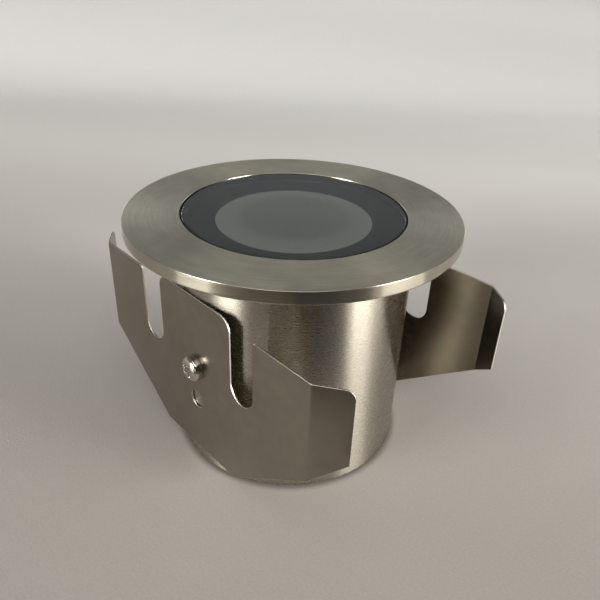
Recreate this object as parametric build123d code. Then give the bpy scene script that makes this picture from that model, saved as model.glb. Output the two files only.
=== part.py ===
from build123d import *
from math import cos, radians, sin, sqrt
import os

# In-ground well light: a turned flange ring and a brushed tube hold an 8 mm glass, an LED engine
# on its heat sink and a driver. Two spring clips of bent sheet grip the wall of the hole.
# Frame: +Z up out of the ground, the tube's foot on z = 0, the front clip on the -Y side.

# ---- body ----------------------------------------------------------------------------------
overall_height = 76.5
flange_diameter = 100.0
flange_thickness = 3.8
flange_top_break = 0.35
flange_under_break = 0.5
tube_diameter = 73.5
tube_wall = 2.0
foot_chamfer = 0.7
spigot_clearance = 0.05
neck_height = 1.2
neck_relief = 0.4
pocket_wall = 0.95
ledge_width = 4.75
ledge_thickness = 5.0

# ---- glass and its bedding -----------------------------------------------------------------
glass_thickness = 8.0
glass_recess = 0.2
glass_arris = 0.4
gasket_wall = 0.5
gasket_bed = 0.8
gasket_top_gap = 0.5
border_thickness = 0.2
window_diameter = 47.0

# ---- light engine --------------------------------------------------------------------------
diffuser_thickness = 2.0
diffuser_clearance = 0.5
reflector_wall = 0.8
reflector_mouth_gap = 1.4
reflector_throat_diameter = 14.0
reflector_throat_gap = 0.3
reflector_knee_rise = 3.0
holder_wall = 2.2
holder_clearance = 0.4
pocket_clearance = 0.2
pad_thickness = 0.5
led_board_diameter = 44.0
led_board_thickness = 1.6
led_substrate_side = 13.0
led_substrate_thickness = 0.7
phosphor_diameter = 10.5
phosphor_thickness = 0.6
phosphor_bevel = 0.35
board_screw_circle = 35.0
board_screw_angles = (90, 270)
lead_circle = 38.0
lead_diameter = 1.2
lead_hole_clearance = 0.4
lead_stand = 0.5

# ---- heat sink -----------------------------------------------------------------------------
sink_clearance = 0.45
sink_pocket_depth = 10.0
sink_floor = 4.3
fin_count = 24
fin_thickness = 1.5
fin_core_diameter = 18.0
sink_screw_inset = 2.4
sink_screw_grip = 3.6
film_thickness = 0.5
film_gap = 1.4

# ---- base ----------------------------------------------------------------------------------
recess_depth = 12.0
base_thickness = 5.0
base_clearance = 0.15
seal_groove_width = 2.2
seal_groove_depth = 1.5
seal_side_gap = 0.1
pillar_inset = 5.25
pillar_across_flats = 5.5
pillar_stud_length = 3.5
pillar_room = 0.5

# ---- driver --------------------------------------------------------------------------------
driver_board_thickness = 1.6
standoff_height = 7.0
standoff_diameter = 4.5
standoff_circle = 40.0
component_circle = 30.0
inductor_angle = 140
capacitor_angles = (30, 65)
rectifier_place = (-8.0, -7.0)
controller_place = (0.0, 0.0)
inductor_diameter = 12.0
inductor_height = 9.0
inductor_flange = 1.2
inductor_waist = 1.0
capacitor_diameter = 8.0
capacitor_height = 10.5
capacitor_shoulder = 0.6
rectifier_size = (8.0, 4.0, 7.0)
rectifier_bevel = 0.5
controller_size = (6.0, 5.0, 1.6)
terminal_size = (10.0, 8.0, 8.5)
terminal_mouth = 3.0
terminal_mouth_height = 2.6
terminal_inset = 4.5

# ---- cable gland ---------------------------------------------------------------------------
gland_thread_diameter = 12.0
gland_fit_clearance = 0.05
gland_hex = 16.0
gland_flange = 3.0
gland_neck_diameter = 10.4
gland_neck_length = 4.4
gland_bore = 7.2
gland_seal_diameter = 9.1
gland_cable_bore = 6.5
gland_cap_hex = 15.0
gland_cap_foot = 1.0
gland_cap_gap = 0.3
gland_cap_dome = 2.2
locknut_hex = 17.0
locknut_thickness = 3.5
thread_overrun = 1.0

# ---- spring clips --------------------------------------------------------------------------
clip_sheet = 0.5
clip_gap = 0.1
clip_fold_span = 97.2
clip_lip_length = 10.4
clip_lip_angle = 36.0
clip_bend_radius = 1.2
clip_lip_corner = 2.8
clip_tab_top = 16.2
clip_wing_top = 17.8
clip_fold_foot = 48.6
clip_bottom = 71.5
clip_bottom_width = 35.6
clip_bottom_corner = 1.5
clip_tab_width = 34.4
clip_tab_corner = 4.0
clip_slot_width = 9.8
clip_slot_bottom = 41.0
clip_slot_corner = 1.2
clip_screw_depth = 40.6
clip_hole_pitch = 11.7
clip_hole_diameter = 6.0

# ---- fasteners -----------------------------------------------------------------------------
m4_diameter = 4.0
m4_head_diameter = 8.0
m4_head_height = 3.0
m4_head_band = 0.9
m4_length = 8.0
m4_recess_span = 4.4
m4_recess_slot = 1.1
m4_recess_depth = 1.7
m4_recess_turn = 20
m4_nut_flats = 7.0
m4_nut_thickness = 3.2
m3_diameter = 3.0
m3_head_diameter = 5.5
m3_head_height = 2.0
m3_length = 8.0
m3_recess_span = 3.0
m3_recess_slot = 0.8
m3_recess_depth = 0.8
m25_diameter = 2.5
m25_head_diameter = 4.5
m25_head_height = 1.7
m25_length = 6.0
screw_fit = 0.05
head_seat = 0.05
head_crown = 0.45
screw_end_gap = 0.3

# ---- places worked out from the sizes above ------------------------------------------------
m4_hole = m4_diameter / 2 + screw_fit
m3_hole = m3_diameter / 2 + screw_fit
m25_hole = m25_diameter / 2 + screw_fit
gland_hole = gland_thread_diameter / 2 + gland_fit_clearance

tube_radius = tube_diameter / 2
tube_bore = tube_radius - tube_wall
spigot_radius = tube_bore - spigot_clearance
pocket_radius = spigot_radius - pocket_wall
glass_radius = pocket_radius - gasket_wall
ledge_radius = pocket_radius - ledge_width

flange_under = overall_height - flange_thickness
tube_top = flange_under - neck_height
glass_top = overall_height - glass_recess
glass_under = glass_top - glass_thickness
border_under = glass_under - border_thickness
ledge_top = border_under - gasket_bed
ledge_under = ledge_top - ledge_thickness
diffuser_under = border_under - diffuser_thickness
reflector_rim_under = diffuser_under - reflector_wall

sink_radius = tube_bore - sink_clearance
sink_floor_top = ledge_under - sink_pocket_depth
sink_floor_under = sink_floor_top - sink_floor
holder_radius = ledge_radius - holder_clearance
reflector_mouth_radius = holder_radius - holder_wall - reflector_mouth_gap
sink_pocket_radius = holder_radius + pocket_clearance
sink_screw_radius = ledge_radius + sink_screw_inset
pad_top = sink_floor_top + pad_thickness
led_board_top = pad_top + led_board_thickness
phosphor_base = led_board_top + led_substrate_thickness
throat_under = phosphor_base + reflector_throat_gap
lead_radius = lead_circle / 2
lead_angle = 180.0 / fin_count
lead_hole = lead_diameter / 2 + lead_hole_clearance

base_under = recess_depth
base_top = base_under + base_thickness
base_radius = tube_bore - base_clearance
seal_groove_radius = base_radius - seal_groove_depth
seal_thickness = seal_groove_width - seal_side_gap
pillar_radius = tube_bore - pillar_inset
pillar_corner = pillar_across_flats / sqrt(3)
core_radius = pillar_radius - pillar_corner - pillar_room
driver_board_under = base_top + standoff_height
driver_board_top = driver_board_under + driver_board_thickness
tallest_component = max(capacitor_height, inductor_height, rectifier_size[2], terminal_size[2])
film_under = driver_board_top + tallest_component + film_gap
fins_under = film_under + film_thickness
pillar_angles = (0, 120, 240)
sink_screw_angles = (60, 180, 300)
standoff_angles = (90, 210, 330)
lead_angles = (lead_angle, lead_angle + 180)

gland_flange_under = base_under - gland_flange
gland_neck_under = gland_flange_under - gland_neck_length
locknut_top = base_top + locknut_thickness

clip_face = tube_radius + clip_gap
clip_screw_z = overall_height - clip_screw_depth
clip_hole_z = clip_screw_z - clip_hole_pitch
clip_bottom_z = overall_height - clip_bottom
clip_fold_x = clip_fold_span / 2


# ---- shapes that repeat --------------------------------------------------------------------
def cylinder(radius, low, high):
    return Pos(0, 0, low) * Cylinder(radius, high - low, align=(Align.CENTER, Align.CENTER, Align.MIN))


def ring(outer, inner, low, high):
    return cylinder(outer, low, high) - cylinder(inner, low, high)


def turned(*outline):
    """A solid of revolution about Z, from its half section as (radius, height) points."""
    return revolve(make_face(Plane.XZ * Polyline(*outline, close=True)), Axis.Z)


def hexagon(across_flats, low, high):
    return Pos(0, 0, low) * extrude(RegularPolygon(across_flats / sqrt(3), 6), high - low)


def around(radius, angles, shape):
    """Copies of a shape, one at each angle of a circle about Z."""
    return [Rot(0, 0, angle) * Pos(radius, 0, 0) * shape for angle in angles]


def pan_screw(diameter, head_diameter, head_height, length):
    """A pan-head screw that points down, with its head seated on z = 0."""
    head = cylinder(head_diameter / 2, 0, head_height)
    head = chamfer(head.edges().group_by(Axis.Z)[-1], head_height * head_crown)
    return head + cylinder(diameter / 2, -length, 0)


def beside(name, solids):
    """Writes separate solids of one kind as one file."""
    write(name, Compound(children=[solid for shape in solids for solid in shape.solids()]))


def write(name, shape):
    export_step(shape, os.path.join("parts", name + ".step"))


# ---- body ----------------------------------------------------------------------------------
def trim_ring():
    """The flange, the neck that the tube butts on, the spigot inside the tube, and the ledge
    that carries the glass."""
    outer = flange_diameter / 2
    body = turned(
        (ledge_radius, ledge_under),
        (spigot_radius, ledge_under),
        (spigot_radius, tube_top),
        (tube_radius, tube_top),
        (tube_radius, flange_under - neck_relief),
        (tube_radius + neck_relief, flange_under),
        (outer - flange_under_break, flange_under),
        (outer, flange_under + flange_under_break),
        (outer, overall_height - flange_top_break),
        (outer - flange_top_break, overall_height),
        (pocket_radius, overall_height),
        (pocket_radius, ledge_top),
        (ledge_radius, ledge_top),
    )
    tapped = cylinder(m3_hole, ledge_under, ledge_under + sink_screw_grip + screw_end_gap)
    return body - around(sink_screw_radius, sink_screw_angles, tapped)


def housing_tube():
    """The open tube, with a hole in each side for a clip's screw."""
    body = turned(
        (tube_bore, 0),
        (tube_radius - foot_chamfer, 0),
        (tube_radius, foot_chamfer),
        (tube_radius, tube_top),
        (tube_bore, tube_top),
    )
    hole = Rot(90, 0, 0) * Cylinder(m4_hole, 2 * tube_diameter)
    return body - Pos(0, 0, clip_screw_z) * hole


# ---- glass and its bedding -----------------------------------------------------------------
def lens_glass():
    return turned(
        (0, glass_under),
        (glass_radius - glass_arris, glass_under),
        (glass_radius, glass_under + glass_arris),
        (glass_radius, glass_top - glass_arris),
        (glass_radius - glass_arris, glass_top),
        (0, glass_top),
    )


def lens_border():
    """The dark fired band on the glass's underside, round the clear window."""
    return ring(glass_radius, window_diameter / 2, border_under, glass_under)


def lens_gasket():
    """An L section: it beds the glass on the ledge and seals its edge in the pocket."""
    return turned(
        (ledge_radius, ledge_top),
        (pocket_radius, ledge_top),
        (pocket_radius, glass_top - gasket_top_gap),
        (glass_radius, glass_top - gasket_top_gap),
        (glass_radius, border_under),
        (ledge_radius, border_under),
    )


# ---- light engine --------------------------------------------------------------------------
def diffuser_disc():
    return cylinder(ledge_radius - diffuser_clearance, diffuser_under, border_under)


def reflector():
    """A dish of two cones, from its throat over the emitter to the flat rim under the diffuser."""
    throat = reflector_throat_diameter / 2
    mouth = reflector_mouth_radius
    rim = ledge_radius - diffuser_clearance
    knee = (throat + mouth) / 2
    knee_under = throat_under + reflector_knee_rise
    return turned(
        (throat, throat_under),
        (knee, knee_under),
        (mouth, reflector_rim_under),
        (rim, reflector_rim_under),
        (rim, diffuser_under),
        (mouth, diffuser_under),
        (knee, knee_under + reflector_wall),
        (throat, throat_under + reflector_wall),
    )


def reflector_holder():
    """The moulded sleeve that presses the dish and the diffuser up under the glass."""
    return ring(holder_radius, holder_radius - holder_wall, sink_floor_top, reflector_rim_under)


def led_emitter():
    """A chip on its square ceramic, under a round phosphor dome."""
    side = led_substrate_side
    ceramic = extrude(Rectangle(side, side), led_substrate_thickness)
    phosphor = cylinder(phosphor_diameter / 2, phosphor_base, phosphor_base + phosphor_thickness)
    phosphor = chamfer(phosphor.edges().group_by(Axis.Z)[-1], phosphor_bevel)
    return Pos(0, 0, led_board_top) * ceramic + phosphor


def led_board_outline(low, high, wire_hole):
    disc = cylinder(led_board_diameter / 2, low, high)
    disc -= around(board_screw_circle / 2, board_screw_angles, cylinder(m3_hole, low, high))
    return disc - around(lead_radius, lead_angles, cylinder(wire_hole, low, high))


def thermal_pad():
    return led_board_outline(sink_floor_top, pad_top, lead_hole)


def led_board():
    return led_board_outline(pad_top, led_board_top, lead_diameter / 2 + screw_fit)


def led_board_screws():
    length = led_board_top - sink_floor_under - 2 * screw_end_gap
    screw = pan_screw(m3_diameter, m3_head_diameter, m3_head_height, length)
    return around(board_screw_circle / 2, board_screw_angles, Pos(0, 0, led_board_top) * screw)


def led_leads():
    """Two stiff wires that rise from the driver through the heat sink to the LED board."""
    wire = cylinder(lead_diameter / 2, driver_board_top, led_board_top + lead_stand)
    return around(lead_radius, lead_angles, wire)


# ---- heat sink -----------------------------------------------------------------------------
def heat_sink():
    """A turned cup that carries the LED board, with straight radial fins under its floor."""
    body = cylinder(sink_radius, sink_floor_under, ledge_under)
    body -= cylinder(sink_pocket_radius, sink_floor_top, ledge_under)
    body += cylinder(fin_core_diameter / 2, fins_under, sink_floor_under)
    fin_root = fin_core_diameter / 2 - fin_thickness
    fin = Pos(fin_root, 0, fins_under) * Box(
        core_radius - fin_root,
        fin_thickness,
        sink_floor_under - fins_under,
        align=(Align.MIN, Align.CENTER, Align.MIN),
    )
    body += [Rot(0, 0, 360 / fin_count * step) * fin for step in range(fin_count)]
    screw_hole = cylinder(m3_hole, sink_floor_under, ledge_under)
    body -= around(sink_screw_radius, sink_screw_angles, screw_hole)
    stud_hole = cylinder(m3_hole, sink_floor_under, sink_floor_under + pillar_stud_length + screw_end_gap)
    body -= around(pillar_radius, pillar_angles, stud_hole)
    tapped = cylinder(m3_hole, sink_floor_under + screw_end_gap, sink_floor_top)
    body -= around(board_screw_circle / 2, board_screw_angles, tapped)
    return body - around(lead_radius, lead_angles, cylinder(lead_hole, fins_under, sink_floor_top))


def heat_sink_screws():
    length = ledge_under - sink_floor_under + sink_screw_grip
    screw = Rot(180, 0, 0) * pan_screw(m3_diameter, m3_head_diameter, m3_head_height, length)
    return around(sink_screw_radius, sink_screw_angles, Pos(0, 0, sink_floor_under) * screw)


def insulating_film():
    """A plastic film on the fin ends, above the driver's components."""
    film = cylinder(core_radius, film_under, fins_under)
    return film - around(lead_radius, lead_angles, cylinder(lead_hole, film_under, fins_under))


# ---- driver --------------------------------------------------------------------------------
def tie_pillars():
    """Hexagon pillars that hang the base from the heat sink, each with a stud at its top."""
    pillar = hexagon(pillar_across_flats, base_top, sink_floor_under)
    pillar -= cylinder(m3_hole, base_top, base_under + m3_length + screw_end_gap)
    pillar += cylinder(m3_diameter / 2, sink_floor_under, sink_floor_under + pillar_stud_length)
    return around(pillar_radius, pillar_angles, pillar)


def driver_board():
    board = cylinder(core_radius, driver_board_under, driver_board_top)
    hole = cylinder(m25_hole, driver_board_under, driver_board_top)
    return board - around(standoff_circle / 2, standoff_angles, hole)


def driver_standoffs():
    standoff = cylinder(standoff_diameter / 2, base_top, driver_board_under)
    standoff -= cylinder(m25_hole, driver_board_top - m25_length - screw_end_gap, driver_board_under)
    return around(standoff_circle / 2, standoff_angles, standoff)


def driver_board_screws():
    screw = pan_screw(m25_diameter, m25_head_diameter, m25_head_height, m25_length)
    return around(standoff_circle / 2, standoff_angles, Pos(0, 0, driver_board_top) * screw)


def driver_inductor():
    """A wound drum core: two flanges with the winding between them."""
    flange = inductor_diameter / 2
    winding = flange - inductor_waist
    low = driver_board_top
    high = low + inductor_height
    drum = turned(
        (0, low),
        (flange, low),
        (flange, low + inductor_flange),
        (winding, low + inductor_flange),
        (winding, high - inductor_flange),
        (flange, high - inductor_flange),
        (flange, high),
        (0, high),
    )
    return around(component_circle / 2, (inductor_angle,), drum)


def driver_capacitors():
    """Electrolytic cans with a rolled shoulder."""
    can = cylinder(capacitor_diameter / 2, driver_board_top, driver_board_top + capacitor_height)
    can = chamfer(can.edges().group_by(Axis.Z)[-1], capacitor_shoulder)
    return around(component_circle / 2, capacitor_angles, can)


def block(size, x, y):
    return Pos(x, y, driver_board_top) * Box(*size, align=(Align.CENTER, Align.CENTER, Align.MIN))


def driver_rectifier():
    body = block(rectifier_size, *rectifier_place)
    return chamfer(body.edges().group_by(Axis.Z)[-1], rectifier_bevel)


def driver_controller():
    return block(controller_size, *controller_place)


def driver_terminal_block():
    """A two-way screw terminal, with its wire mouths towards the middle of the board."""
    width, depth, height = terminal_size
    y = terminal_inset + depth / 2 - core_radius
    body = block(terminal_size, 0, y)
    mouth = Box(terminal_mouth, 3 * terminal_mouth, terminal_mouth)
    screw_well = Cylinder(terminal_mouth / 2, terminal_mouth)
    for side in (-1, 1):
        x = side * width / 4
        body -= Pos(x, y + depth / 2, driver_board_top + terminal_mouth_height) * mouth
        body -= Pos(x, y, driver_board_top + height) * screw_well
    return body


# ---- base ----------------------------------------------------------------------------------
def base_plate():
    """The plug of the tube, with a seal groove round its edge and countersunk screw holes."""
    middle = (base_under + base_top) / 2
    plate = cylinder(base_radius, base_under, base_top)
    low = middle - seal_groove_width / 2
    plate -= ring(tube_radius, seal_groove_radius, low, low + seal_groove_width)
    plate -= cylinder(gland_hole, base_under, base_top)
    hole = cylinder(m3_hole, base_under, base_top) + countersink(screw_fit)
    return plate - around(pillar_radius, pillar_angles, hole)


def countersink(extra):
    """The cone of a countersunk head, its wide end flush with the base plate's underside."""
    head = m3_head_diameter / 2 + extra
    shank = m3_diameter / 2
    tip = base_under + head - shank
    return turned((0, base_under), (head, base_under), (shank, tip), (0, tip))


def base_screws():
    """Countersunk screws with a cross recess, from below through the plate into the pillars."""
    screw = countersink(0) + cylinder(m3_diameter / 2, base_under, base_under + m3_length)
    slot = Box(m3_recess_span, m3_recess_slot, 2 * m3_recess_depth)
    for turn in (0, 90):
        screw -= Pos(0, 0, base_under) * Rot(0, 0, turn) * slot
    return around(pillar_radius, pillar_angles, screw)


def base_seal():
    """The square-cut ring that fills the plate's groove and seals on the tube."""
    middle = (base_under + base_top) / 2
    return ring(tube_bore, seal_groove_radius, middle - seal_thickness / 2, middle + seal_thickness / 2)


# ---- cable gland ---------------------------------------------------------------------------
def gland_body():
    """Threaded shank through the plate, hexagon flange below it, and the neck for the cap."""
    body = cylinder(gland_thread_diameter / 2, base_under, locknut_top + thread_overrun)
    body += hexagon(gland_hex, gland_flange_under, base_under)
    body += cylinder(gland_neck_diameter / 2, gland_neck_under, gland_flange_under)
    body -= cylinder(gland_bore / 2, gland_flange_under, locknut_top + thread_overrun)
    seal_room = gland_seal_diameter / 2 + gland_fit_clearance
    return body - cylinder(seal_room, gland_neck_under, gland_flange_under)


def gland_seal():
    """The rubber sleeve that the cap squeezes on to the cable."""
    return ring(gland_seal_diameter / 2, gland_cable_bore / 2, gland_neck_under, gland_flange_under)


def gland_cap():
    """The domed hexagon cap that screws up the neck."""
    top = gland_flange_under - gland_cap_gap
    cap = hexagon(gland_cap_hex, gland_cap_foot, top)
    corner = gland_cap_hex / sqrt(3)
    neck = gland_neck_diameter / 2
    dome = turned(
        (0, gland_cap_foot),
        (neck, gland_cap_foot),
        (corner, gland_cap_foot + gland_cap_dome),
        (corner, top),
        (0, top),
    )
    cap = cap & dome
    cap -= cylinder(gland_bore / 2, gland_cap_foot, gland_neck_under)
    return cap - cylinder(neck + gland_fit_clearance, gland_neck_under, top)


def gland_locknut():
    nut = hexagon(locknut_hex, base_top, locknut_top)
    return nut - cylinder(gland_hole, base_top, locknut_top)


# ---- spring clips --------------------------------------------------------------------------
def clip_strip():
    """The bent sheet as a full-height strip, its web on y = 0 and its lips turned towards +Y."""
    reach = clip_lip_length * cos(radians(clip_lip_angle))
    rise = clip_lip_length * sin(radians(clip_lip_angle))
    bends = [
        (-clip_fold_x - reach, rise),
        (-clip_fold_x, 0),
        (clip_fold_x, 0),
        (clip_fold_x + reach, rise),
    ]
    section = trace(FilletPolyline(*bends, radius=clip_bend_radius), line_width=clip_sheet)
    return Pos(0, 0, clip_bottom_z) * extrude(section, clip_bottom - clip_tab_top)


def clip_outline():
    """The outline seen from the front, from the flange's top down: a foot that is chamfered in
    one straight cut out to the lips, and a head with two slots beside a taller middle tab."""
    foot = clip_bottom_width / 2
    slope = (clip_bottom - clip_fold_foot) / (clip_fold_x - foot)
    lip_run = 2 * clip_lip_length
    lip_x = clip_fold_x + lip_run * cos(radians(clip_lip_angle))
    right = [
        (foot, -clip_bottom),
        (clip_fold_x, -clip_fold_foot),
        (lip_x, slope * lip_run - clip_fold_foot),
        (lip_x, -clip_wing_top),
    ]
    left = [(-x, z) for x, z in reversed(right)]
    sheet = make_face(Polyline(*right, *left, close=True))
    sheet = fillet(sheet.vertices().group_by(Axis.Y)[0], clip_bottom_corner)
    slot_round = clip_slot_width / 2
    slot_x = clip_tab_width / 2 + slot_round
    floor = slot_round - clip_slot_bottom
    upward = (Align.CENTER, Align.MIN)
    sheet -= Pos(0, floor) * Rectangle(2 * (slot_x + slot_round), clip_slot_bottom, align=upward)
    head_corners = sheet.vertices().group_by(Axis.Y)[-1]
    wing_corners = sorted(head_corners, key=lambda corner: abs(corner.X))[:2]
    sheet = fillet(wing_corners, clip_slot_corner)
    for side in (-1, 1):
        sheet -= Pos(side * slot_x, floor) * Circle(slot_round)
    tab = Pos(0, floor) * Rectangle(clip_tab_width, -clip_tab_top - floor, align=upward)
    tab = fillet(tab.vertices().group_by(Axis.Y)[-1], clip_tab_corner)
    return sheet + tab


def spring_clip():
    """One clip in the front clip's place: bent, cut to its outline, rounded and pierced."""
    depth = clip_lip_length
    outline = Pos(0, depth, overall_height) * extrude(Plane.XZ * clip_outline(), 2 * depth)
    clip = clip_strip() & outline
    short = clip.edges().filter_by(lambda edge: abs(edge.length - clip_sheet) < clip_sheet / 50)
    outer = short.filter_by(lambda edge: abs(edge.center().X) > clip_fold_x + clip_lip_length / 2)
    clip = fillet(outer.group_by(Axis.Z)[-1], clip_lip_corner)
    for z, radius in ((clip_screw_z, m4_hole), (clip_hole_z, clip_hole_diameter / 2)):
        clip -= Pos(0, 0, z) * Rot(90, 0, 0) * Cylinder(radius, 4 * clip_sheet)
    return Pos(0, -clip_face - clip_sheet / 2, 0) * clip


def clip_screw():
    """A domed screw with a cross recess, its head seated on the clip's sheet."""
    radius = m4_head_diameter / 2
    dome = m4_head_height - m4_head_band
    sphere_radius = (radius**2 + dome**2) / (2 * dome)
    head = cylinder(radius, 0, m4_head_height)
    head &= Pos(0, 0, m4_head_height - sphere_radius) * Sphere(sphere_radius)
    screw = head + cylinder(m4_diameter / 2, -m4_length, 0)
    slot = Box(m4_recess_span, m4_recess_slot, 2 * m4_recess_depth)
    for turn in (m4_recess_turn, m4_recess_turn + 90):
        screw -= Pos(0, 0, m4_head_height) * Rot(0, 0, turn) * slot
    seat = clip_face + clip_sheet + head_seat
    return Pos(0, -seat, clip_screw_z) * Rot(90, 0, 0) * screw


def clip_nuts():
    """Weld nuts on the inside of the tube, behind the clips' screws."""
    corner = m4_nut_flats / sqrt(3)
    face = sqrt(tube_bore**2 - corner**2)
    nut = hexagon(m4_nut_flats, 0, m4_nut_thickness)
    nut -= cylinder(m4_hole, 0, m4_nut_thickness)
    front = Pos(0, -face + m4_nut_thickness, clip_screw_z) * Rot(90, 0, 0) * nut
    return [front, Rot(0, 0, 180) * front]


# ---- build ---------------------------------------------------------------------------------
os.makedirs("parts", exist_ok=True)

SINGLES = (
    trim_ring, housing_tube, lens_glass, lens_border, lens_gasket, diffuser_disc, reflector,
    reflector_holder, led_emitter, led_board, thermal_pad, heat_sink, insulating_film,
    driver_board, driver_rectifier, driver_controller, driver_terminal_block, base_plate,
    base_seal, gland_body, gland_seal, gland_cap, gland_locknut,
)
GROUPS = (
    led_board_screws, led_leads, heat_sink_screws, tie_pillars, driver_standoffs,
    driver_board_screws, driver_inductor, driver_capacitors, base_screws, clip_nuts,
)

for piece in SINGLES:
    write(piece.__name__, piece())

for pieces in GROUPS:
    beside(pieces.__name__, pieces())

half_turn = Rot(0, 0, 180)
clip = spring_clip()
screw = clip_screw()
write("front_clip", clip)
write("rear_clip", half_turn * clip)
write("front_clip_screw", screw)
write("rear_clip_screw", half_turn * screw)
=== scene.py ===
import math

import bmesh
import bpy
import numpy as np
from mathutils import Matrix


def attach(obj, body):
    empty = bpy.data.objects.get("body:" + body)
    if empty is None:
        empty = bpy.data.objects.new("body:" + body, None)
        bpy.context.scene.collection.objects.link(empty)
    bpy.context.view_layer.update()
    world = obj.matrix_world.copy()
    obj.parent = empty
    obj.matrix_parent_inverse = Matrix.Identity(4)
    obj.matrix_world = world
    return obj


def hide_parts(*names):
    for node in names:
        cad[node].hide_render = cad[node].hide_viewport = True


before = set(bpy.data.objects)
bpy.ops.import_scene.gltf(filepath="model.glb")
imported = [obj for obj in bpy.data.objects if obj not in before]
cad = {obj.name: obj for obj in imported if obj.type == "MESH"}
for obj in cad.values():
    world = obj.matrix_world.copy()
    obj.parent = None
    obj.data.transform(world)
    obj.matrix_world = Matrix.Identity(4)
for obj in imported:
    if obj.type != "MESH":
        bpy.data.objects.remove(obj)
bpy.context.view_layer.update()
body = "light_body"
bpy.context.scene.view_settings.view_transform = "Standard"


# ---- camera --------------------------------------------------------------------------------
# A slightly wide lens held close, in front and to the right of the front clip. It looks 30
# degrees down and is turned a little about its own axis.
eye_azimuth = math.radians(317.593)
eye_distance = 0.17208
eye_height = 0.14499
heading = math.radians(46.642)
pitch = math.radians(30.046)
roll = math.radians(2.418)

camera = bpy.data.objects.new("camera", bpy.data.cameras.new("camera"))
camera.data.sensor_width = 36.0
camera.data.lens = 36.85
camera.data.clip_start = 0.01
bpy.context.scene.collection.objects.link(camera)
eye = (eye_distance * math.cos(eye_azimuth), eye_distance * math.sin(eye_azimuth), eye_height)
camera.matrix_world = (
    Matrix.Translation(eye)
    @ Matrix.Rotation(heading, 4, "Z")
    @ Matrix.Rotation(math.pi / 2 - pitch, 4, "X")
    @ Matrix.Rotation(roll, 4, "Z")
)
bpy.context.scene.camera = camera


# ---- studio --------------------------------------------------------------------------------
# A grey cloth rises in a cove behind it. A painted contact shadow darkens it along the light's
# foot, and its colour is painted lighter and darker as a fall-off of light. Soft boxes stand at
# the sides and hang overhead; two low windows behind show only in metal and glass. Dark and white
# cards, one upright and the rest flat on the cloth, give the metal its darks and streaks.
def link_mesh(name, points, faces):
    """A new object at the origin from an array of points and a list of faces."""
    mesh = bpy.data.meshes.new(name)
    mesh.from_pydata(points.tolist(), [], faces)
    mesh.update()
    piece = bpy.data.objects.new(name, mesh)
    bpy.context.scene.collection.objects.link(piece)
    return piece


def grid_faces(rows, columns, wrap_rows=False, wrap_columns=False):
    """The quads of a grid of points that are stored row by row, closed round either way."""
    down = np.arange(rows if wrap_rows else rows - 1)
    along = np.arange(columns if wrap_columns else columns - 1)
    row, column = np.meshgrid(down, along, indexing="ij")
    next_row, next_column = (row + 1) % rows, (column + 1) % columns
    quads = (
        row * columns + column,
        row * columns + next_column,
        next_row * columns + next_column,
        next_row * columns + column,
    )
    return np.stack(quads, -1).reshape(-1, 4).tolist()


def node_material(name):
    """A material with one Principled BSDF, its node tree and that shader."""
    material = bpy.data.materials.new(name)
    material.use_nodes = True
    tree = material.node_tree
    return material, tree, tree.nodes["Principled BSDF"]


def maths(tree, operation, *values):
    """A Math node on sockets or numbers, and its output socket."""
    node = tree.nodes.new("ShaderNodeMath")
    node.operation = operation
    for index, value in enumerate(values):
        if isinstance(value, bpy.types.NodeSocket):
            tree.links.new(value, node.inputs[index])
        else:
            node.inputs[index].default_value = value
    return node.outputs[0]


def vector_maths(tree, operation, vector, constant=None, scale=None):
    """A Vector Math node on a socket and a constant vector, or scaled, and its output socket."""
    node = tree.nodes.new("ShaderNodeVectorMath")
    node.operation = operation
    tree.links.new(vector, node.inputs[0])
    if constant is not None:
        node.inputs[1].default_value = constant
    if scale is not None:
        tree.links.new(scale, node.inputs["Scale"])
    return node.outputs["Value" if operation in ("DOT_PRODUCT", "LENGTH") else "Vector"]


def axis_distance(tree, position):
    """How far a position is from the Z axis."""
    return vector_maths(tree, "LENGTH", vector_maths(tree, "MULTIPLY", position, (1, 1, 0)))


def ranged(tree, value, low, high, start=0.3, end=0.7, interpolation="LINEAR"):
    """Maps a mask from start to end on to low to high."""
    node = tree.nodes.new("ShaderNodeMapRange")
    node.interpolation_type = interpolation
    node.inputs["From Min"].default_value = start
    node.inputs["From Max"].default_value = end
    node.inputs["To Min"].default_value = low
    node.inputs["To Max"].default_value = high
    tree.links.new(value, node.inputs["Value"])
    return node.outputs["Result"]


def colour_ramp(tree, interpolation, value, stops):
    """A value coloured by a ramp through (position, colour) stops, in rising order."""
    node = tree.nodes.new("ShaderNodeValToRGB")
    node.color_ramp.interpolation = interpolation
    elements = node.color_ramp.elements
    for element, (position, colour) in zip(elements, (stops[0], stops[-1])):
        element.position = position
        element.color = (*colour, 1)
    for position, colour in stops[1:-1]:
        elements.new(position).color = (*colour, 1)
    tree.links.new(value, node.inputs["Fac"])
    return node.outputs["Color"]


def noise(tree, position, scale, detail, roughness=0.5):
    """The value of a noise texture at a position."""
    node = tree.nodes.new("ShaderNodeTexNoise")
    node.inputs["Scale"].default_value = scale
    node.inputs["Detail"].default_value = detail
    node.inputs["Roughness"].default_value = roughness
    tree.links.new(position, node.inputs["Vector"])
    return node.outputs["Fac"]


def bumped(tree, height, strength, distance, under=None):
    """The normal of a relief that a value gives, on top of another relief's normal."""
    node = tree.nodes.new("ShaderNodeBump")
    node.inputs["Strength"].default_value = strength
    node.inputs["Distance"].default_value = distance
    tree.links.new(height, node.inputs["Height"])
    if under is not None:
        tree.links.new(under, node.inputs["Normal"])
    return node.outputs["Normal"]


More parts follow.
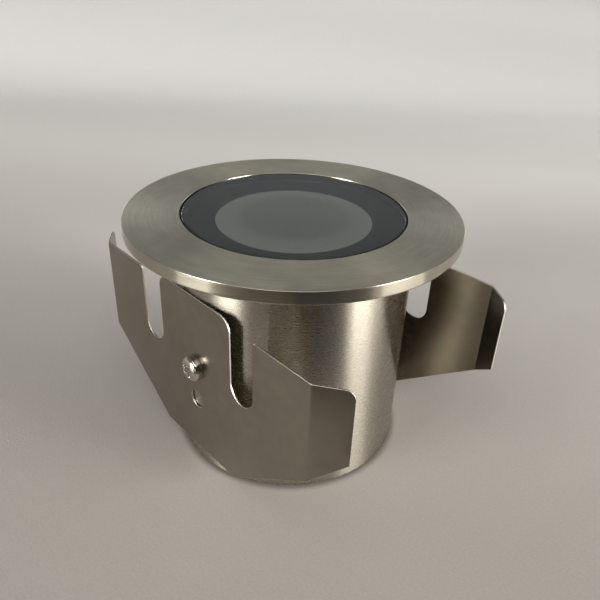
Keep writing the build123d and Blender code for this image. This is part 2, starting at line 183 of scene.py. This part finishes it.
cove_start = 0.46
cove_radius = 0.42
wall_height = 0.9
reach = 1.9
cloth_skew = 0.16
cloth_climb = 0.8
floor_steps = 40
cove_steps = 25
wall_steps = 8
side_steps = 50
contact_shadow_inside = 0.0362
contact_shadow_outside = 0.0392
rear = (math.cos(eye_azimuth + math.pi), math.sin(eye_azimuth + math.pi))
bend = np.linspace(0, math.pi / 2, cove_steps)[1:]
run = np.concatenate([
    np.linspace(-reach, cove_start, floor_steps),
    cove_start + cove_radius * np.sin(bend),
    np.full(wall_steps, cove_start + cove_radius),
])
rise = np.concatenate([
    np.zeros(floor_steps),
    cove_radius * (1 - np.cos(bend)),
    np.linspace(cove_radius, cove_radius + wall_height, wall_steps + 1)[1:],
])
side = np.linspace(-reach, reach, side_steps)
run_grid, side_grid = np.meshgrid(run, side, indexing="ij")
rise_grid = np.repeat(rise[:, None], len(side), 1)
cloth_points = np.stack([
    run_grid * rear[0] - side_grid * rear[1],
    run_grid * rear[1] + side_grid * rear[0],
    rise_grid,
], -1).reshape(-1, 3)
cloth = link_mesh("cloth_floor", cloth_points, grid_faces(len(run), len(side)))
cloth.data.shade_smooth()

material, tree, shader = node_material("grey_cloth")
shader.inputs["Roughness"].default_value = 0.95
shader.inputs["Specular IOR Level"].default_value = 0.15
place = tree.nodes.new("ShaderNodeTexCoord").outputs["Object"]
backwards = (rear[0] + cloth_skew * rear[1], rear[1] - cloth_skew * rear[0], cloth_climb)
# Painted light: the cloth's colour falls off from a light band some way behind the light to darker
# near the front and up the wall, skewed to one side.
depth = ranged(tree, vector_maths(tree, "DOT_PRODUCT", place, backwards), 0, 1, -0.15, 1.35)
painted_light_falloff = colour_ramp(tree, "EASE", depth, (
    (0.0, (0.235, 0.218, 0.203)),
    (0.055, (0.288, 0.268, 0.249)),
    (0.19, (0.49, 0.469, 0.442)),
    (0.32, (0.70, 0.688, 0.666)),
    (0.44, (0.79, 0.786, 0.773)),
    (0.62, (0.60, 0.60, 0.591)),
    (0.84, (0.25, 0.264, 0.278)),
    (0.94, (0.25, 0.264, 0.278)),
    (1.0, (0.24, 0.25, 0.26)),
))
folds = noise(tree, place, scale=22, detail=3)
nap = noise(tree, place, scale=1300, detail=2)
weave = ranged(tree, nap, 0.955, 1.045)
# Painted contact shadow: the cloth's colour is darkened in a ring round the tube's foot.
painted_contact_shadow = ranged(
    tree, axis_distance(tree, place), 0.45, 1, contact_shadow_inside, contact_shadow_outside, "SMOOTHSTEP"
)
woven_and_painted_light = vector_maths(tree, "SCALE", painted_light_falloff, scale=maths(tree, "MULTIPLY", weave, painted_contact_shadow))
tree.links.new(woven_and_painted_light, shader.inputs["Base Color"])
fold_normal = bumped(tree, folds, strength=0.14, distance=0.004)
nap_normal = bumped(tree, nap, strength=0.25, distance=0.0002, under=fold_normal)
tree.links.new(nap_normal, shader.inputs["Normal"])
cloth.data.materials.append(material)


light_middle = (0, 0, 0.04)
card_lift = 0.0004


def aimed(azimuth, elevation, distance):
    """A place on a sphere round the light's middle, turned so that its -Z looks at the middle."""
    turn = math.radians(azimuth)
    lift = math.radians(elevation)
    return (
        Matrix.Translation(light_middle)
        @ Matrix.Rotation(turn + math.pi / 2, 4, "Z")
        @ Matrix.Rotation(math.pi / 2 - lift, 4, "X")
        @ Matrix.Translation((0, 0, distance))
    )


def soft_box(name, azimuth, elevation, distance, width, height, watts, colour):
    """A rectangular lamp that faces the light's middle."""
    lamp = bpy.data.lights.new(name, "AREA")
    lamp.shape = "RECTANGLE"
    lamp.size = width
    lamp.size_y = height
    lamp.energy = watts
    lamp.color = colour
    box = bpy.data.objects.new(name, lamp)
    box.matrix_world = aimed(azimuth, elevation, distance)
    bpy.context.scene.collection.objects.link(box)
    return box


for name, azimuth, elevation, distance, width, height, watts, colour in (
    ("right_box", 21, 13, 0.9, 0.34, 0.42, 12.6, (1.0, 0.96, 0.90)),
    ("left_box", 264, 11, 0.9, 0.31, 0.36, 11.0, (1.0, 0.97, 0.92)),
    ("top_box", 317, 62, 1.1, 0.9, 0.9, 5.3, (1.0, 0.99, 0.98)),
):
    soft_box(name, azimuth, elevation, distance, width, height, watts, colour)
for name, azimuth in (("left_window", 171), ("right_window", 102)):
    window = soft_box(name, azimuth, 9, 0.8, 0.24, 0.20, 0.55, (1.0, 0.97, 0.93))
    window.visible_diffuse = False


def flag(name, corners, colour, stand=None):
    """A matt card that only reflections show: it is hidden from the camera, casts no shadow and
    takes no light off the cloth."""
    card = link_mesh(name, np.array(corners), [(0, 1, 2, 3)])
    card.matrix_world = stand or Matrix.Identity(4)
    card.visible_camera = False
    card.visible_diffuse = False
    card.visible_shadow = False
    material, tree, shader = node_material(name)
    shader.inputs["Base Color"].default_value = (*colour, 1)
    shader.inputs["Roughness"].default_value = 0.9
    card.data.materials.append(material)


def on_cloth(start, end, near, far=0.6):
    """Corners of a card that lies just above the cloth, between two azimuths."""
    return [
        (away * math.cos(math.radians(turn)), away * math.sin(math.radians(turn)), card_lift)
        for turn, away in ((start, near), (end, near), (end, far), (start, far))
    ]


black = (0.015, 0.014, 0.013)
white = (0.88, 0.86, 0.82)
standing = [(-0.21, -0.2, 0), (0.21, -0.2, 0), (0.21, 0.26, 0), (-0.21, 0.26, 0)]
flag("standing_flag", standing, black, aimed(333, 12, 0.5))
for name, start, end, near, colour in (
    ("grey_flag", 273, 292, 0.112, (0.060, 0.054, 0.043)),
    ("olive_flag", 292, 319, 0.130, (0.036, 0.031, 0.017)),
    ("far_black_flag", 319, 328, 0.104, black),
    ("black_flag", 328, 344, 0.080, black),
    ("brown_flag", 344, 363, 0.084, (0.030, 0.027, 0.023)),
    ("left_card", 250, 272, 0.125, white),
    ("right_card", 9, 40, 0.125, white),
):
    flag(name, on_cloth(start, end, near), colour)

world = bpy.data.worlds.new("room")
world.use_nodes = True
tree = world.node_tree
height = tree.nodes.new("ShaderNodeSeparateXYZ")
tree.links.new(tree.nodes.new("ShaderNodeTexCoord").outputs["Generated"], height.inputs[0])
sky_stops = ((0.12, (0.62, 0.61, 0.58)), (0.42, (0.16, 0.16, 0.155)))
sky = colour_ramp(tree, "EASE", height.outputs["Z"], sky_stops)
tree.links.new(sky, tree.nodes["Background"].inputs["Color"])
bpy.context.scene.world = world


# ---- trim ring -----------------------------------------------------------------------------
# A ring turned from stainless bar: the flange with its brushed face, the neck that the tube
# butts on, the spigot inside the tube and the ledge under the glass.
def shader_group(name, inputs, outputs):
    """A shader node group: inputs and outputs are (name, socket type, default)."""
    tree = bpy.data.node_groups.new(name, "ShaderNodeTree")
    for title, kind, default in inputs:
        socket = tree.interface.new_socket(title, in_out="INPUT", socket_type=kind)
        if default is not None:
            socket.default_value = default
    for title, kind in outputs:
        tree.interface.new_socket(title, in_out="OUTPUT", socket_type=kind)
    return tree, tree.nodes.new("NodeGroupInput"), tree.nodes.new("NodeGroupOutput")


def lathe_marks_group():
    """Fine lines that run round Z, as a tool or belt leaves them: noise that changes fast with
    radius plus height, and slowly round the axis, so each line fades out and starts again."""
    tree, given, result = shader_group(
        "lathe_marks",
        [
            ("Position", "NodeSocketVector", None),
            ("Lines per metre", "NodeSocketFloat", 3000.0),
            ("Breaks per radian", "NodeSocketFloat", 5.0),
        ],
        [("Marks", "NodeSocketFloat")],
    )
    parts = tree.nodes.new("ShaderNodeSeparateXYZ")
    tree.links.new(given.outputs["Position"], parts.inputs[0])
    x, y, z = parts.outputs
    squares = maths(tree, "ADD", maths(tree, "MULTIPLY", x, x), maths(tree, "MULTIPLY", y, y))
    radius = maths(tree, "SQRT", squares)
    safe = maths(tree, "MAXIMUM", radius, 0.0005)
    path = maths(tree, "MULTIPLY", maths(tree, "ADD", radius, z), given.outputs["Lines per metre"])
    breaks = given.outputs["Breaks per radian"]
    across = maths(tree, "MULTIPLY", maths(tree, "DIVIDE", x, safe), breaks)
    along = maths(tree, "MULTIPLY", maths(tree, "DIVIDE", y, safe), breaks)
    spot = tree.nodes.new("ShaderNodeCombineXYZ")
    for index, socket in enumerate((across, along, path)):
        tree.links.new(socket, spot.inputs[index])
    marks = noise(tree, spot.outputs[0], scale=1.0, detail=2.0, roughness=0.6)
    tree.links.new(marks, result.inputs["Marks"])
    return tree


def cloudy_group():
    """Slow, soft variation, as handling and wiping leave on metal: two noises of different
    size, averaged."""
    tree, given, result = shader_group(
        "cloudy",
        [("Position", "NodeSocketVector", None), ("Size", "NodeSocketFloat", 0.02)],
        [("Cloud", "NodeSocketFloat")],
    )
    shrink = maths(tree, "DIVIDE", 1.0, given.outputs["Size"])
    shrunk = vector_maths(tree, "SCALE", given.outputs["Position"], scale=shrink)
    layers = [noise(tree, shrunk, scale, detail=3.0) for scale in (1.0, 4.3)]
    half = maths(tree, "MULTIPLY", maths(tree, "ADD", *layers), 0.5)
    tree.links.new(half, result.inputs["Cloud"])
    return tree


lathe_marks = lathe_marks_group()
cloudy = cloudy_group()


def effect(tree, group, position, **values):
    """Places a shader group in a material, fed with the piece's position and set to its values."""
    node = tree.nodes.new("ShaderNodeGroup")
    node.node_tree = group
    tree.links.new(position, node.inputs["Position"])
    for title, value in values.items():
        node.inputs[title.replace("_", " ")].default_value = value
    return node.outputs[0]


def tinted(tree, mask, first, second):
    """A colour that goes from the first to the second with a mask. Each is a colour or a socket."""
    node = tree.nodes.new("ShaderNodeMix")
    node.data_type = "RGBA"
    tree.links.new(mask, node.inputs["Factor"])
    for title, colour in (("A", first), ("B", second)):
        if isinstance(colour, bpy.types.NodeSocket):
            tree.links.new(colour, node.inputs[title])
        else:
            node.inputs[title].default_value = (*colour, 1)
    return node.outputs["Result"]


def brushed_steel(name, dark, light, lines, breaks, roughness, depth, anisotropic, side=1.0):
    """Stainless steel brushed round Z: the marks vary its colour, roughness and relief, and the
    highlight stretches across them. side scales the roughness of the faces that stand upright."""
    material, tree, shader = node_material(name)
    shader.inputs["Metallic"].default_value = 1.0
    shader.inputs["Anisotropic"].default_value = anisotropic
    shader.inputs["Anisotropic Rotation"].default_value = 0.25
    coordinates = tree.nodes.new("ShaderNodeTexCoord")
    place = coordinates.outputs["Object"]
    tangent = tree.nodes.new("ShaderNodeTangent")
    tangent.direction_type = "RADIAL"
    tangent.axis = "Z"
    tree.links.new(tangent.outputs["Tangent"], shader.inputs["Tangent"])
    marks = effect(tree, lathe_marks, place, Lines_per_metre=lines, Breaks_per_radian=breaks)
    cloud = effect(tree, cloudy, place, Size=0.03)
    blend = maths(tree, "MULTIPLY_ADD", marks, 0.7, ranged(tree, cloud, 0.0, 0.3, 0.35, 0.65))
    mask = ranged(tree, blend, 0.0, 1.0, 0.25, 0.75)
    tree.links.new(tinted(tree, mask, dark, light), shader.inputs["Base Color"])
    facing = tree.nodes.new("ShaderNodeSeparateXYZ")
    tree.links.new(coordinates.outputs["Normal"], facing.inputs[0])
    flatness = maths(tree, "ABSOLUTE", facing.outputs["Z"])
    upright = ranged(tree, flatness, side, 1.0, 0.3, 0.9)
    rough = maths(tree, "MULTIPLY", ranged(tree, marks, *roughness), upright)
    tree.links.new(rough, shader.inputs["Roughness"])
    tree.links.new(bumped(tree, marks, depth, distance=0.00004), shader.inputs["Normal"])
    return material


def rounded(outline, steps=5, support=0.00025):
    """A closed half section with its corners rounded. outline is (radius, height, rounding)
    points; each corner becomes an arc that is tangent to its two sides, worked out as a
    quadratic curve through the corner, with a support point beyond each end that has room."""
    points = np.array([point[:2] for point in outline])
    cuts = np.array([point[2] for point in outline])
    before = np.roll(points, 1, 0) - points
    after = np.roll(points, -1, 0) - points
    length_before = np.linalg.norm(before, axis=1)
    length_after = np.linalg.norm(after, axis=1)
    before /= length_before[:, None]
    after /= length_after[:, None]
    share = np.linspace(0, 1, steps)[:, None]
    section = []
    corners = zip(points, cuts, before, after, length_before, length_after)
    for corner, cut, back, forth, back_length, forth_length in corners:
        if cut == 0:
            section.append(corner[None])
            continue
        first = corner + back * cut
        last = corner + forth * cut
        arc = (1 - share) ** 2 * first + 2 * share * (1 - share) * corner + share**2 * last
        room = 2.2 * (cut + support)
        if back_length > room:
            section.append((first + back * support)[None])
        section.append(arc)
        if forth_length > room:
            section.append((last + forth * support)[None])
    return np.concatenate(section)


def smoothed(piece, sharp_degrees):
    """Turns a piece's faces outward and shades them smooth, except across sharper edges."""
    outward = bmesh.new()
    outward.from_mesh(piece.data)
    bmesh.ops.recalc_face_normals(outward, faces=outward.faces)
    outward.to_mesh(piece.data)
    outward.free()
    piece.data.shade_smooth()
    piece.data.set_sharp_from_angle(angle=math.radians(sharp_degrees))
    return piece


axis_tolerance = 1e-7


def turned_piece(name, outline, segments=288, to_axis=False):
    """A turned piece: its rounded half section carried round Z. A section that starts and ends
    on the axis is closed there with a fan instead of a ring of thin faces."""
    section = rounded(outline)
    if to_axis:
        section = section[section[:, 0] > axis_tolerance]
    angle = np.linspace(0, 2 * math.pi, segments, endpoint=False)
    radius = section[:, 0][None, :]
    points = np.stack([
        radius * np.cos(angle)[:, None],
        radius * np.sin(angle)[:, None],
        np.repeat(section[:, 1][None, :], segments, 0),
    ], -1).reshape(-1, 3)
    count = len(section)
    faces = grid_faces(segments, count, wrap_rows=True, wrap_columns=not to_axis)
    if to_axis:
        ends = np.array([(0, 0, section[0, 1]), (0, 0, section[-1, 1])])
        points = np.concatenate([points, ends])
        low, high = segments * count, segments * count + 1
        for step in range(segments):
            following = (step + 1) % segments
            faces.append((low, following * count, step * count))
            faces.append((high, step * count + count - 1, following * count + count - 1))
    return smoothed(link_mesh(name, points, faces), sharp_degrees=50)


def dressed(piece, material, node, rides=body):
    """Gives a finished piece its material, and sets it in place of its node."""
    piece.data.materials.clear()
    piece.data.materials.append(material)
    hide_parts(node)
    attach(piece, rides)


flange_top = 0.0765
flange_under = 0.0727
flange_radius = 0.050
neck_under = 0.0715
tube_radius = 0.03675
tube_bore = 0.03475
pocket_radius = 0.03375
ledge_radius = 0.0290
ledge_top = 0.0673
ledge_under = 0.0623
spigot_radius = tube_bore - 0.00005

trim = turned_piece("trim_ring_turned", [
    (ledge_radius, ledge_under, 0.0002),
    (spigot_radius, ledge_under, 0.0003),
    (spigot_radius, neck_under, 0),
    (tube_radius, neck_under, 0.00005),
    (tube_radius, flange_under, 0.0004),
    (flange_radius, flange_under, 0.0005),
    (flange_radius, flange_top, 0.00015),
    (pocket_radius, flange_top, 0.00022),
    (pocket_radius, ledge_top, 0),
    (ledge_radius, ledge_top, 0.0001),
])
flange_steel = brushed_steel(
    "turned_stainless", dark=(0.39, 0.367, 0.296), light=(0.56, 0.528, 0.434), lines=2700, breaks=3.0,
    roughness=(0.35, 0.41), depth=0.15, anisotropic=0.75, side=0.54,
)
dressed(trim, flange_steel, "trim_ring")


# ---- housing tube --------------------------------------------------------------------------
# Drawn stainless tube with a 2 mm wall, brushed round on a belt. Its foot is chamfered, and its
# top butts on the ring's neck in a dressed weld.
foot_chamfer = 0.0007

tube = turned_piece("housing_tube_brushed", [
    (tube_bore, 0, 0.0002),
    (tube_radius - foot_chamfer, 0, 0.0001),
    (tube_radius, foot_chamfer, 0.0001),
    (tube_radius, neck_under, 0.00005),
    (tube_bore, neck_under, 0),
])
tube_steel = brushed_steel(
    "tube_stainless", dark=(0.415, 0.387, 0.327), light=(0.45, 0.42, 0.357), lines=2400, breaks=20.0,
    roughness=(0.262, 0.280), depth=0.02, anisotropic=0.93,
)
dressed(tube, tube_steel, "housing_tube")


# ---- glass, gasket and fired border --------------------------------------------------------
# An 8 mm toughened disc with ground arrises, bedded on an L-shaped black gasket. A dark band is
# fired on its underside round the clear window.
glass_radius = 0.03325
glass_top = 0.0763
glass_under = 0.0683
window_radius = 0.0235
bond = 0.00002
border_under = glass_under - 0.0002
border_radius = glass_radius - 0.0002
gasket_top = glass_top - 0.0005

glass = turned_piece("lens_glass_disc", [
    (0, glass_under, 0),
    (glass_radius, glass_under, 0.0004),
    (glass_radius, glass_top, 0.0004),
    (0, glass_top, 0),
], to_axis=True)
material, tree, shader = node_material("clear_glass")
shader.inputs["Base Color"].default_value = (0.93, 0.97, 0.96, 1)
shader.inputs["IOR"].default_value = 1.5
shader.inputs["Transmission Weight"].default_value = 1.0
place = tree.nodes.new("ShaderNodeTexCoord").outputs["Object"]
film = effect(tree, cloudy, place, Size=0.012)
tree.links.new(ranged(tree, film, 0.0, 0.03, 0.5, 0.75), shader.inputs["Roughness"])
dressed(glass, material, "lens_glass")

border = turned_piece("lens_border_band", [
    (window_radius, border_under, 0),
    (border_radius, border_under, 0),
    (border_radius, glass_under + bond, 0),
    (window_radius, glass_under + bond, 0),
])
material, tree, shader = node_material("dark_enamel")
place = tree.nodes.new("ShaderNodeTexCoord").outputs["Object"]
speckle = effect(tree, cloudy, place, Size=0.004)
mask = ranged(tree, speckle, 0.0, 1.0)
enamel = tinted(tree, mask, (0.004, 0.008, 0.012), (0.008, 0.013, 0.018))
tree.links.new(enamel, shader.inputs["Base Color"])
shader.inputs["Roughness"].default_value = 0.5
dressed(border, material, "lens_border")

gasket = turned_piece("lens_gasket_ring", [
    (ledge_radius, ledge_top, 0),
    (pocket_radius, ledge_top, 0),
    (pocket_radius, gasket_top, 0.0001),
    (glass_radius, gasket_top, 0.0001),
    (glass_radius, border_under, 0),
    (ledge_radius, border_under, 0),
])
black_rubber, tree, shader = node_material("black_rubber")
place = tree.nodes.new("ShaderNodeTexCoord").outputs["Object"]
bloom = effect(tree, cloudy, place, Size=0.005)
mask = ranged(tree, bloom, 0.0, 1.0)
rubber = tinted(tree, mask, (0.004, 0.004, 0.0045), (0.009, 0.009, 0.0095))
tree.links.new(rubber, shader.inputs["Base Color"])
tree.links.new(ranged(tree, bloom, 0.6, 0.8), shader.inputs["Roughness"])
shader.inputs["Specular IOR Level"].default_value = 0.25
dressed(gasket, black_rubber, "lens_gasket")


# ---- diffuser ------------------------------------------------------------------------------
# A frosted disc pressed up under the glass. The light and shade of the dish behind it are painted
# on its colour: a paler band round a darker middle, set off to the side away from the camera.
diffuser_radius = 0.0285
diffuser_under = 0.0661
diffuser_top = 0.0681
dish_shift = 0.002

diffuser = turned_piece("diffuser_frosted", [
    (0, diffuser_under, 0),
    (diffuser_radius, diffuser_under, 0.0002),
    (diffuser_radius, diffuser_top, 0.0002),
    (0, diffuser_top, 0),
], to_axis=True)
material, tree, shader = node_material("opal")
place = tree.nodes.new("ShaderNodeTexCoord").outputs["Object"]
dish_middle = (rear[0] * dish_shift, rear[1] * dish_shift, 0)
distance = axis_distance(tree, vector_maths(tree, "SUBTRACT", place, dish_middle))
# Painted light and shade of the dish behind: darker in the middle, paler towards the rim.
painted_dish_light_and_shade = colour_ramp(tree, "B_SPLINE", ranged(tree, distance, 0, 1, 0, window_radius), (
    (0.0, (0.070, 0.067, 0.050)),
    (0.62, (0.078, 0.075, 0.058)),
    (0.80, (0.150, 0.146, 0.126)),
    (1.0, (0.175, 0.171, 0.148)),
))
tree.links.new(painted_dish_light_and_shade, shader.inputs["Base Color"])
frost = effect(tree, cloudy, place, Size=0.002)
tree.links.new(ranged(tree, frost, 0.55, 0.75), shader.inputs["Roughness"])
dressed(diffuser, material, "diffuser_disc")


# ---- spring clips --------------------------------------------------------------------------
# Half-millimetre spring sheet, blanked with two slots beside a tab and bent back at its ends.
# The cut edges are painted dark as shade where they face up or down, behind a burr whose
# bright colour is partly bare cut metal and partly a painted highlight; the faces keep the mill's
# dull skin.
merge_distance = 1e-6
flat_angle = math.radians(0.5)
sharp_angle = math.radians(40)
burr_angle = math.radians(30)
burr_width = 0.00011


def finished_copy(node, name):
    """A copy of a node's own mesh: merged, its flat faces joined, and its corners bevelled."""
    mesh = cad[node].data.copy()
    work = bmesh.new()
    work.from_mesh(mesh)
    bmesh.ops.remove_doubles(work, verts=work.verts, dist=merge_distance)
    bmesh.ops.dissolve_limit(work, angle_limit=flat_angle, verts=work.verts, edges=work.edges)
    work.to_mesh(mesh)
    work.free()
    mesh.name = name
    piece = bpy.data.objects.new(name, mesh)
    bpy.context.scene.collection.objects.link(piece)
    mesh.shade_smooth()
    mesh.set_sharp_from_angle(angle=sharp_angle)
    bevel = piece.modifiers.new("burr", "BEVEL")
    bevel.width = burr_width
    bevel.segments = 2
    bevel.limit_method = "ANGLE"
    bevel.angle_limit = burr_angle
    bevel.harden_normals = True
    return piece


faces_sideways = 0.72
faces_upward = 0.35
lies_level = 0.93

spring_sheet, tree, shader = node_material("spring_sheet")
shader.inputs["Metallic"].default_value = 1.0
coordinates = tree.nodes.new("ShaderNodeTexCoord")
place = coordinates.outputs["Object"]
facing = tree.nodes.new("ShaderNodeSeparateXYZ")
tree.links.new(coordinates.outputs["Normal"], facing.inputs[0])
sideways = maths(tree, "ABSOLUTE", facing.outputs["X"])
upward = maths(tree, "ABSOLUTE", facing.outputs["Z"])
cut_side = maths(tree, "GREATER_THAN", sideways, faces_sideways)
cut_top = maths(tree, "GREATER_THAN", upward, faces_upward)
cut_edge = maths(tree, "MAXIMUM", cut_side, cut_top)
# Painted shade on the cut faces that lie level, and a painted highlight on the burr and the side
# cuts.
painted_shade_on_level_cuts = maths(tree, "GREATER_THAN", upward, lies_level)
skin = effect(tree, cloudy, place, Size=0.016)
skin_colour = tinted(tree, ranged(tree, skin, 0, 1), (0.25, 0.231, 0.187), (0.325, 0.294, 0.244))
bare_edge_and_painted_light = tinted(tree, painted_shade_on_level_cuts, (0.78, 0.75, 0.69), (0.09, 0.083, 0.072))
sheet_colour = tinted(tree, cut_edge, skin_colour, bare_edge_and_painted_light)
tree.links.new(sheet_colour, shader.inputs["Base Color"])
rougher = maths(tree, "MULTIPLY", cut_edge, 0.16)
rough = maths(tree, "ADD", ranged(tree, skin, 0.22, 0.26), rougher)
tree.links.new(rough, shader.inputs["Roughness"])
grain = effect(tree, cloudy, place, Size=0.006)
tree.links.new(bumped(tree, grain, strength=0.10, distance=0.00005), shader.inputs["Normal"])

for end in ("front", "rear"):
    clip = finished_copy(end + "_clip", end + "_clip_sheet")
    dressed(clip, spring_sheet, end + "_clip", rides=end + "_clip_body")


# ---- clip screws ---------------------------------------------------------------------------
# Bright M4 screws with a domed pan head and a cross recess. Each goes through its clip and the
# tube into a weld nut.
screw_height = 0.0359
screw_seat = 0.03740
head_radius = 0.0040
head_height = 0.0030
band = 0.0012
recess_half = 0.0022
recess_slot = 0.00055
recess_depth = 0.0017
recess_turn = math.radians(53)
recess_flare = 1.15
recess_taper = 0.45
recess_shallowest = 0.2
wall_run = 0.00022
end_run = 0.0005
underside_round = 0.00008
shank_length = 0.004
first_ring = 0.0025
head_rings = 64
head_steps = 120

bright_screw, tree, shader = node_material("bright_screw")
shader.inputs["Metallic"].default_value = 1.0
place = tree.nodes.new("ShaderNodeTexCoord").outputs["Object"]
wear = effect(tree, cloudy, place, Size=0.002)
polished = tinted(tree, ranged(tree, wear, 0, 1), (0.50, 0.48, 0.44), (0.66, 0.64, 0.60))
# Painted shade: the cross recess is coloured dark through a mask that the head carries on its points.
painted_recess_shade = tree.nodes.new("ShaderNodeAttribute")
painted_recess_shade.attribute_name = "recess"
screw_colour = tinted(tree, painted_recess_shade.outputs["Fac"], polished, (0.10, 0.095, 0.088))
tree.links.new(screw_colour, shader.inputs["Base Color"])
dull = maths(tree, "MULTIPLY", painted_recess_shade.outputs["Fac"], 0.3)
rough = maths(tree, "ADD", ranged(tree, wear, 0.08, 0.20), dull)
tree.links.new(rough, shader.inputs["Roughness"])


def dome_screw(name, way):
    """The head is a height over a polar grid: band + (head_height - band) * sqrt(1 - share**3)
    with share = radius / head_radius, a flat-topped dome above a straight band. A cross is taken
    from it, whose walls fall off smoothly from the arms' sides and ends."""
    share = np.sin(np.linspace(first_ring, math.pi / 2, head_rings))[:, None]
    radius = head_radius * share
    angle = np.linspace(0, 2 * math.pi, head_steps, endpoint=False)[None, :]
    dome = band + (head_height - band) * np.sqrt(1 - share**3) + 0 * angle
    across = radius * np.cos(angle + recess_turn)
    along = radius * np.sin(angle + recess_turn)

    def arm(long_way, short_way):
        inside = np.minimum(
            (recess_half - np.abs(long_way)) / end_run,
            (recess_slot * recess_flare - np.abs(short_way)) / wall_run,
        )
        level = np.clip(inside, 0, 1)
        return level * level * (3 - 2 * level)

    cross = np.maximum(arm(across, along), arm(along, across))
    floor = (1 - recess_taper * radius / recess_half).clip(recess_shallowest, 1)
    height = dome - recess_depth * cross * floor
    side = np.array([
        (1.0, band * 0.5),
        (1.0, underside_round),
        (0.985, 0.0),
        (0.5, 0.0),
        (0.5, -shank_length),
    ])
    radius_all = np.concatenate([radius, head_radius * side[:, :1]]) + 0 * angle
    height_all = np.concatenate([height, side[:, 1:] + 0 * angle])
    turn = np.repeat(angle, len(radius_all), 0)
    local_x = radius_all * np.cos(turn)
    local_z = radius_all * np.sin(turn)
    points = np.stack([
        local_x * way,
        -(screw_seat + height_all) * way,
        screw_height + local_z,
    ], -1).reshape(-1, 3)
    faces = grid_faces(len(radius_all), head_steps, wrap_columns=True)
    middle = len(points)
    last = middle - head_steps
    centres = [points[:head_steps].mean(0), points[last:].mean(0)]
    points = np.concatenate([points, centres])
    for step in range(head_steps):
        following = (step + 1) % head_steps
        faces.append((middle, following, step))
        faces.append((middle + 1, last + step, last + following))
    piece = link_mesh(name, points, faces)
    # The cross's mask, kept on the points, paints the recess dark as shade.
    painted_recess_shade = np.zeros(len(points), np.float32)
    painted_recess_shade[: cross.size] = cross.ravel()
    piece.data.attributes.new("recess", "FLOAT", "POINT").data.foreach_set("value", painted_recess_shade)
    return smoothed(piece, sharp_degrees=60)


for end, way in (("front", 1), ("rear", -1)):
    screw = dome_screw(end + "_clip_screw_dome", way)
    dressed(screw, bright_screw, end + "_clip_screw")


# ---- base, gland and everything inside -----------------------------------------------------
# These keep their own solids. Each finish has a small variation of its colour and roughness at
# the size that its surface shows.
def plain_finish(name, dark, light, roughness, size, metallic=0.0, grain=0.1):
    """A finish with soft clouds of the given size and a relief of much finer ones."""
    material, tree, shader = node_material(name)
    shader.inputs["Metallic"].default_value = metallic
    place = tree.nodes.new("ShaderNodeTexCoord").outputs["Object"]
    cloud = effect(tree, cloudy, place, Size=size)
    mask = ranged(tree, cloud, 0, 1)
    tree.links.new(tinted(tree, mask, dark, light), shader.inputs["Base Color"])
    tree.links.new(ranged(tree, cloud, *roughness), shader.inputs["Roughness"])
    fine = effect(tree, cloudy, place, Size=size / 12)
    tree.links.new(bumped(tree, fine, grain, distance=0.00005), shader.inputs["Normal"])
    return material


base_steel = brushed_steel(
    "base_stainless", dark=(0.46, 0.44, 0.40), light=(0.62, 0.60, 0.56), lines=2200, breaks=9.0,
    roughness=(0.28, 0.42), depth=0.5, anisotropic=0.4,
)
nylon = plain_finish(
    "gland_nylon", (0.018, 0.018, 0.019), (0.030, 0.030, 0.031), (0.42, 0.55), 0.004, grain=0.3
)
finishes = {
    base_steel: ["base_plate"],
    plain_finish("steel_hardware", (0.55, 0.55, 0.54), (0.70, 0.70, 0.69), (0.2, 0.35), 0.002, 1.0):
        ["led_board_screws", "heat_sink_screws", "driver_board_screws", "base_screws", "clip_nuts"],
    black_rubber: ["gland_seal", "base_seal"],
    nylon: ["gland_body", "gland_cap", "gland_locknut"],
    plain_finish("spun_aluminium", (0.74, 0.74, 0.74), (0.88, 0.88, 0.87), (0.25, 0.4), 0.01, 1.0):
        ["reflector"],
    plain_finish("black_moulding", (0.02, 0.02, 0.02), (0.035, 0.035, 0.035), (0.4, 0.55), 0.004):
        ["reflector_holder", "driver_controller", "driver_rectifier"],
    plain_finish("phosphor", (0.78, 0.66, 0.16), (0.88, 0.78, 0.28), (0.5, 0.65), 0.003):
        ["led_emitter"],
    plain_finish("white_board", (0.80, 0.80, 0.78), (0.88, 0.88, 0.86), (0.35, 0.5), 0.01):
        ["led_board"],
    plain_finish("grey_pad", (0.36, 0.38, 0.40), (0.46, 0.48, 0.50), (0.6, 0.8), 0.005):
        ["thermal_pad"],
    plain_finish("wire_insulation", (0.52, 0.04, 0.03), (0.64, 0.07, 0.05), (0.35, 0.5), 0.003):
        ["led_leads"],
    plain_finish("cast_aluminium", (0.58, 0.58, 0.59), (0.74, 0.74, 0.75), (0.35, 0.5), 0.008, 1.0):
        ["heat_sink"],
    plain_finish("clear_film", (0.80, 0.74, 0.52), (0.88, 0.83, 0.62), (0.25, 0.4), 0.01):
        ["insulating_film"],
    plain_finish("brass_parts", (0.66, 0.50, 0.24), (0.80, 0.64, 0.36), (0.2, 0.35), 0.003, 1.0):
        ["tie_pillars", "driver_standoffs"],
    plain_finish("green_board", (0.03, 0.20, 0.08), (0.06, 0.30, 0.13), (0.3, 0.45), 0.006):
        ["driver_board"],
    plain_finish("ferrite", (0.08, 0.075, 0.075), (0.14, 0.13, 0.13), (0.6, 0.8), 0.003):
        ["driver_inductor"],
    plain_finish("capacitor_can", (0.06, 0.08, 0.24), (0.12, 0.14, 0.34), (0.25, 0.4), 0.004):
        ["driver_capacitors"],
    plain_finish("green_terminal", (0.05, 0.32, 0.15), (0.09, 0.42, 0.22), (0.4, 0.55), 0.004):
        ["driver_terminal_block"],
}
for finish, names in finishes.items():
    for name in names:
        for slot in cad[name].material_slots:
            slot.material = finish
